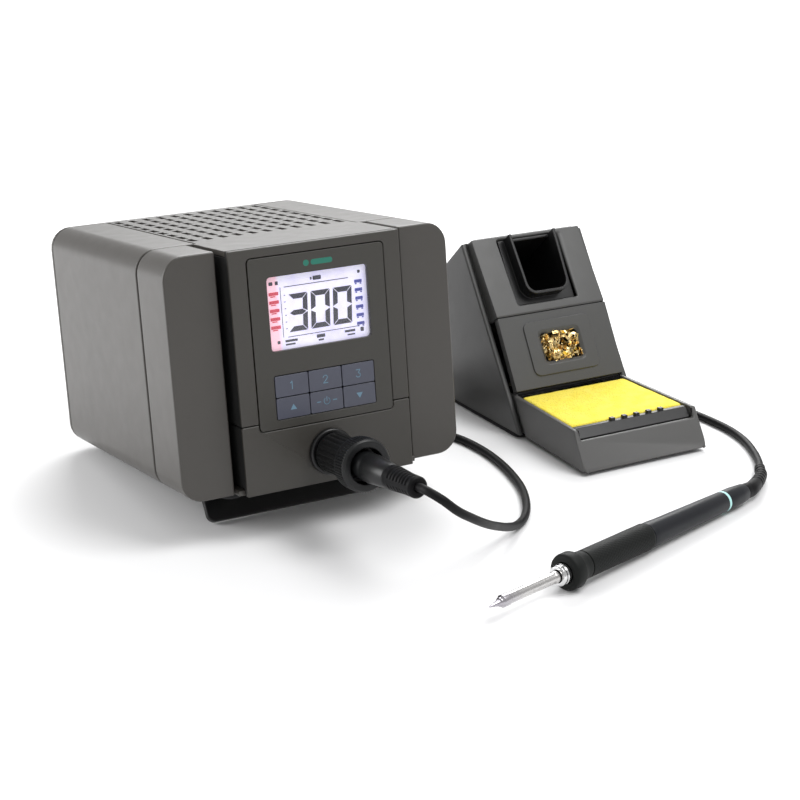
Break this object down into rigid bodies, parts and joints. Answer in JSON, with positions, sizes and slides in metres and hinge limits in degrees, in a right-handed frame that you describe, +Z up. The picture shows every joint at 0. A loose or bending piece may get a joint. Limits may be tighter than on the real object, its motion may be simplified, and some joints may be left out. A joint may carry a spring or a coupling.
{
  "type": "soldering iron station",
  "caption": "Soldering station: power unit with display and keys on a tilt bail, corded iron laid in front, and a sloped stand with iron holder, brass wool window and sponge tray.",
  "frame": {"origin": "under the middle of the box around the power unit, stand and iron, on the bench surface", "axes": "+Z up, -Y towards the user (the display side), +X from the power unit towards the stand"},
  "size_m": [0.3304, 0.3114, 0.1415],
  "materials": {
    "shell": "satin warm grey paint",
    "fascia": "fine satin texture",
    "panel": "fine satin texture",
    "foot": "matte",
    "window": "clear",
    "screen": "lit screen",
    "key": "translucent",
    "key_mat": "matte",
    "board": "lacquered board",
    "black": "satin",
    "socket": "satin",
    "plug": "satin",
    "steel_core": "lacquered laminations",
    "winding": "taped winding",
    "sink": "bead blasted",
    "screw": "zinc plated",
    "stand": "fine texture",
    "holder": "satin",
    "base": "matte",
    "wool": "loose turnings",
    "sponge": "open cell foam",
    "tip": "polished",
    "ferrule": "polished",
    "grip": "matte",
    "handle": "satin",
    "band": "satin",
    "cord": "matte"
  },
  "bodies": {
    "power_unit": {"side_shell_left": "shell", "front_pillar_left": "shell", "front_foot_left": "foot", "rear_foot_left": "foot", "side_shell_right": "shell", "front_pillar_right": "shell", "front_foot_right": "foot", "rear_foot_right": "foot", "vent_cover": "shell", "bottom_cover": "shell", "upper_fascia": "fascia", "lower_fascia": "fascia", "control_panel": "panel", "display_window": "window", "display_module": "screen", "key_mat": "key_mat", "control_board": "board", "transformer_core": "steel_core", "transformer_coil": "winding", "power_board": "board", "heat_sink": "sink", "rear_panel": "shell", "mains_inlet": "black", "switch_frame": "black", "fuse_cap": "black", "case_screw_1": "screw", "case_screw_2": "screw", "case_screw_3": "screw", "case_screw_4": "screw", "iron_socket": "socket", "plug_body": "plug", "plug_boot": "cord", "cord_from_plug": "cord", "cord_coil": "cord", "cord_to_iron": "cord"},
    "bail": {"tilt_bail": "black"},
    "lock_ring": {"plug_lock_ring": "plug"},
    "rocker": {"power_rocker": "black"},
    "stand": {"stand_housing": "stand", "stand_front_cover": "stand", "iron_holder": "holder", "brass_wool": "wool", "stand_base": "base"},
    "tray": {"sponge_tray": "stand", "wiping_comb": "holder"},
    "sponge_pad": {"sponge": "sponge"},
    "iron": {"nose_ferrule": "ferrule", "nose_collar": "grip", "grip_sleeve": "grip", "handle_barrel": "handle", "handle_band": "band", "handle_cap": "handle", "cord_boot": "cord"},
    "cartridge": {"tip_cartridge": "tip"},
    "key_1_body": {"key_1": "key"},
    "key_2_body": {"key_2": "key"},
    "key_3_body": {"key_3": "key"},
    "key_4_body": {"key_4": "key"},
    "key_5_body": {"key_5": "key"},
    "key_6_body": {"key_6": "key"}
  },
  "joints": [
    {"name": "bail_fold", "type": "hinge", "parent": "power_unit", "child": "bail", "pos_m": [-0.07639, 0.01993, 0.02071], "axis": [1, 0, 0], "range_deg": [0, 116]},
    {"name": "lock_ring_turn", "type": "hinge", "parent": "power_unit", "child": "lock_ring", "pos_m": [-0.07639, -0.03725, 0.04145], "axis": [0, -0.9914, 0.1305], "range_deg": [0, 60]},
    {"name": "key_1_press", "type": "slide", "parent": "power_unit", "child": "key_1_body", "axis": [0, 0.9914, -0.1305], "range_m": [0, 0.0006], "stiffness_N_per_m": 1500},
    {"name": "key_2_press", "type": "slide", "parent": "power_unit", "child": "key_2_body", "axis": [0, 0.9914, -0.1305], "range_m": [0, 0.0006], "stiffness_N_per_m": 1500},
    {"name": "key_3_press", "type": "slide", "parent": "power_unit", "child": "key_3_body", "axis": [0, 0.9914, -0.1305], "range_m": [0, 0.0006], "stiffness_N_per_m": 1500},
    {"name": "key_4_press", "type": "slide", "parent": "power_unit", "child": "key_4_body", "axis": [0, 0.9914, -0.1305], "range_m": [0, 0.0006], "stiffness_N_per_m": 1500},
    {"name": "key_5_press", "type": "slide", "parent": "power_unit", "child": "key_5_body", "axis": [0, 0.9914, -0.1305], "range_m": [0, 0.0006], "stiffness_N_per_m": 1500},
    {"name": "key_6_press", "type": "slide", "parent": "power_unit", "child": "key_6_body", "axis": [0, 0.9914, -0.1305], "range_m": [0, 0.0006], "stiffness_N_per_m": 1500},
    {"name": "rocker_tip", "type": "hinge", "parent": "power_unit", "child": "rocker", "pos_m": [-0.07239, 0.13922, 0.03083], "axis": [1, 0, 0], "range_deg": [-16, 0]},
    {"name": "stand_lift", "type": "slide", "parent": "power_unit", "child": "stand", "axis": [0, 0, 1], "range_m": [0, 0.05]},
    {"name": "tray_pull", "type": "slide", "parent": "stand", "child": "tray", "axis": [0, -1, 0], "range_m": [0, 0.03]},
    {"name": "sponge_lift", "type": "slide", "parent": "tray", "child": "sponge_pad", "axis": [0, 0, 1], "range_m": [0, 0.03]},
    {"name": "iron_lift", "type": "slide", "parent": "power_unit", "child": "iron", "axis": [0, 0, 1], "range_m": [0, 0.05]},
    {"name": "cartridge_pull", "type": "slide", "parent": "iron", "child": "cartridge", "axis": [-0.9566, -0.2906, 0.0226], "range_m": [0, 0.035]}
  ]
}
